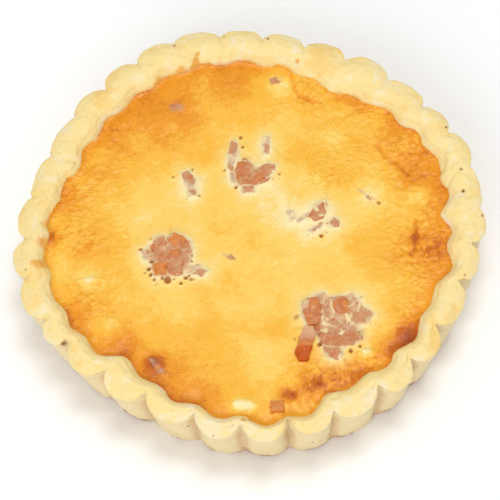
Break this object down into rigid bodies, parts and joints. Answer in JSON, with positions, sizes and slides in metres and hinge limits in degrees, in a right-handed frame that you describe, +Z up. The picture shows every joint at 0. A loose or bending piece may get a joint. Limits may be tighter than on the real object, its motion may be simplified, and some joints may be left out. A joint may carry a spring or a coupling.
{
  "type": "ham quiche",
  "caption": "Single-portion round quiche: a fluted shortcrust case with a browned egg filling and diced ham showing at its top.",
  "frame": {"origin": "bottom centre of the case's box, on the surface it stands on", "axes": "+Z up out of the filling, -Y towards the side with the large cluster of ham, +X to the right of that side"},
  "size_m": [0.1256, 0.128, 0.0221],
  "materials": {
    "pastry": "matte, dry shortcrust",
    "custard": "softly glossy baked egg",
    "ham": "satin cooked meat"
  },
  "bodies": {
    "root": {"pastry_case": "pastry", "egg_filling": "custard", "ham_west_slab": "ham", "ham_west_strip": "ham", "ham_west_diamond": "ham", "ham_west_front_dice": "ham", "ham_west_sliver": "ham", "ham_west_outlier": "ham", "ham_west_crumb": "ham", "ham_east_stick": "ham", "ham_east_left_dice": "ham", "ham_east_back_dice": "ham", "ham_east_inner_slab": "ham", "ham_east_right_slab": "ham", "ham_east_middle_dice": "ham", "ham_east_long_strip": "ham", "ham_east_front_dice": "ham", "ham_north_strip": "ham", "ham_north_block": "ham", "ham_north_slant": "ham", "ham_north_chip": "ham", "ham_north_faint_strip": "ham", "ham_northwest_strip": "ham", "ham_middle_chip": "ham", "ham_middle_block": "ham", "ham_middle_right_dice": "ham", "ham_middle_sliver": "ham", "ham_far_sliver": "ham", "ham_back_chip": "ham", "ham_front_cube": "ham"}
  },
  "joints": []
}
